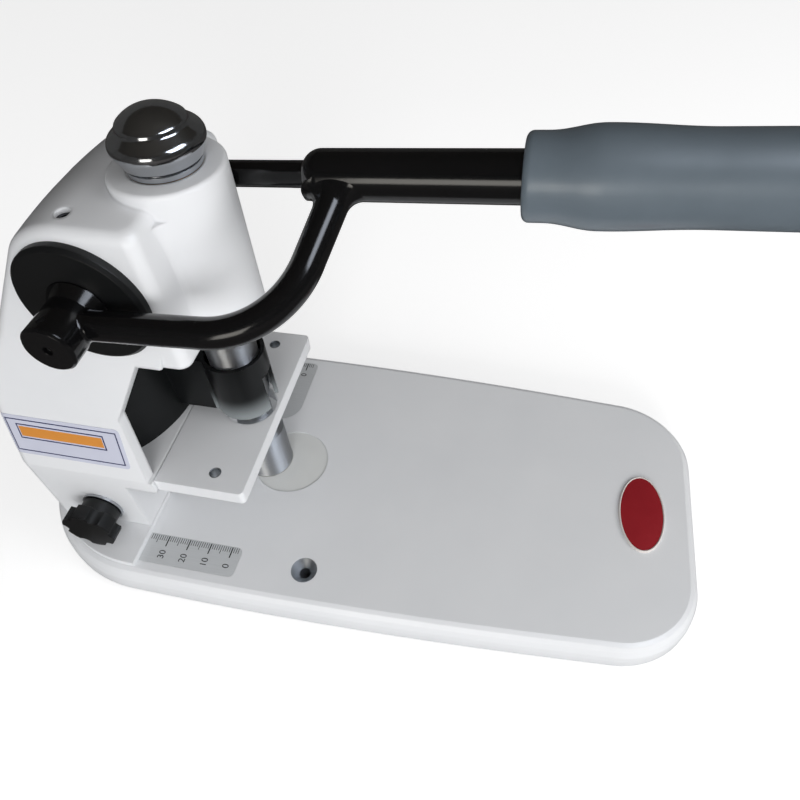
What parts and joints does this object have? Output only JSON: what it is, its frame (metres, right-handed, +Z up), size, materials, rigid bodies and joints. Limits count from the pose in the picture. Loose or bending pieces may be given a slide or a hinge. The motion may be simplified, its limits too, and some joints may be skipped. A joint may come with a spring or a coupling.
{
  "type": "lever paper punch",
  "caption": "Bench lever punch with a half-round hollow tool: forked lever, rack-and-pinion quill, cast C-frame on a flat base, cutting disc, rulers and a clamped back gauge.",
  "frame": {"origin": "middle of the bounding box at the ground, under the feet", "axes": "+X from the spine to the user, along the lever; +Z up; +Y to the left of the user"},
  "size_m": [0.3221, 0.141, 0.19],
  "materials": {
    "white_paint": "satin white powder coat",
    "black_paint": "glossy black paint",
    "black_rubber": "matt moulded rubber",
    "zinc_steel": "bright zinc plate",
    "black_steel": "blackened steel",
    "ground_steel": "ground steel",
    "ruler_steel": "fine brushed sheet",
    "chrome": "bright chrome plate",
    "bronze": "turned bearing bronze",
    "nylon": "natural nylon",
    "smoke_plastic": "dark glossy moulding",
    "black_plastic": "fine grained moulding",
    "grey_grip": "satin dipped vinyl"
  },
  "bodies": {
    "frame": {"base_plate": "white_paint", "frame_casting": "white_paint", "stripper_plate": "white_paint", "rubber_feet": "black_rubber", "frame_bolts": "zinc_steel", "plate_screws": "zinc_steel", "grub_screws": "black_steel", "near_ruler": "ruler_steel", "far_ruler": "ruler_steel", "chip_guard": "smoke_plastic", "near_flange": "black_paint", "far_flange": "black_paint", "near_bearing": "bronze", "far_bearing": "bronze", "lower_bush": "bronze", "upper_bush": "bronze", "clamp_washer": "zinc_steel"},
    "disc": {"cutting_disc": "nylon"},
    "gauge": {"gauge": "ground_steel"},
    "clamp": {"gauge_knob": "black_plastic", "clamp_stud": "zinc_steel"},
    "quill": {"quill": "chrome", "punch": "chrome", "punch_screw": "black_steel", "cap": "chrome"},
    "lever": {"pinion_shaft": "ground_steel", "pinion": "ground_steel", "pinion_key": "ground_steel", "near_hub": "black_paint", "far_hub": "black_paint", "hub_pins": "black_steel", "near_arm": "black_paint", "far_arm": "black_paint", "lever_tube": "black_paint", "grip": "grey_grip"}
  },
  "joints": [
    {"name": "lever_turn", "type": "hinge", "parent": "frame", "child": "lever", "pos_m": [-0.08206, 0, 0.1385], "axis": [0, -1, 0], "range_deg": [0, 120]},
    {"name": "quill_slide", "type": "slide", "parent": "frame", "child": "quill", "axis": [0, 0, 1], "range_m": [0, 0.0315]},
    {"name": "disc_turn", "type": "hinge", "parent": "frame", "child": "disc", "pos_m": [-0.04806, 0, 0.016], "axis": [0, 0, 1], "continuous": true},
    {"name": "gauge_slide", "type": "slide", "parent": "frame", "child": "gauge", "axis": [1, 0, 0], "range_m": [0, 0.029]},
    {"name": "clamp_turn", "type": "hinge", "parent": "frame", "child": "clamp", "pos_m": [-0.11656, -0.0466, 0.0308], "axis": [0, -1, 0], "continuous": true}
  ],
  "couplings": [
    {"joint": "quill_slide", "follows": "lever_turn", "m_per_rad": 0.015}
  ]
}
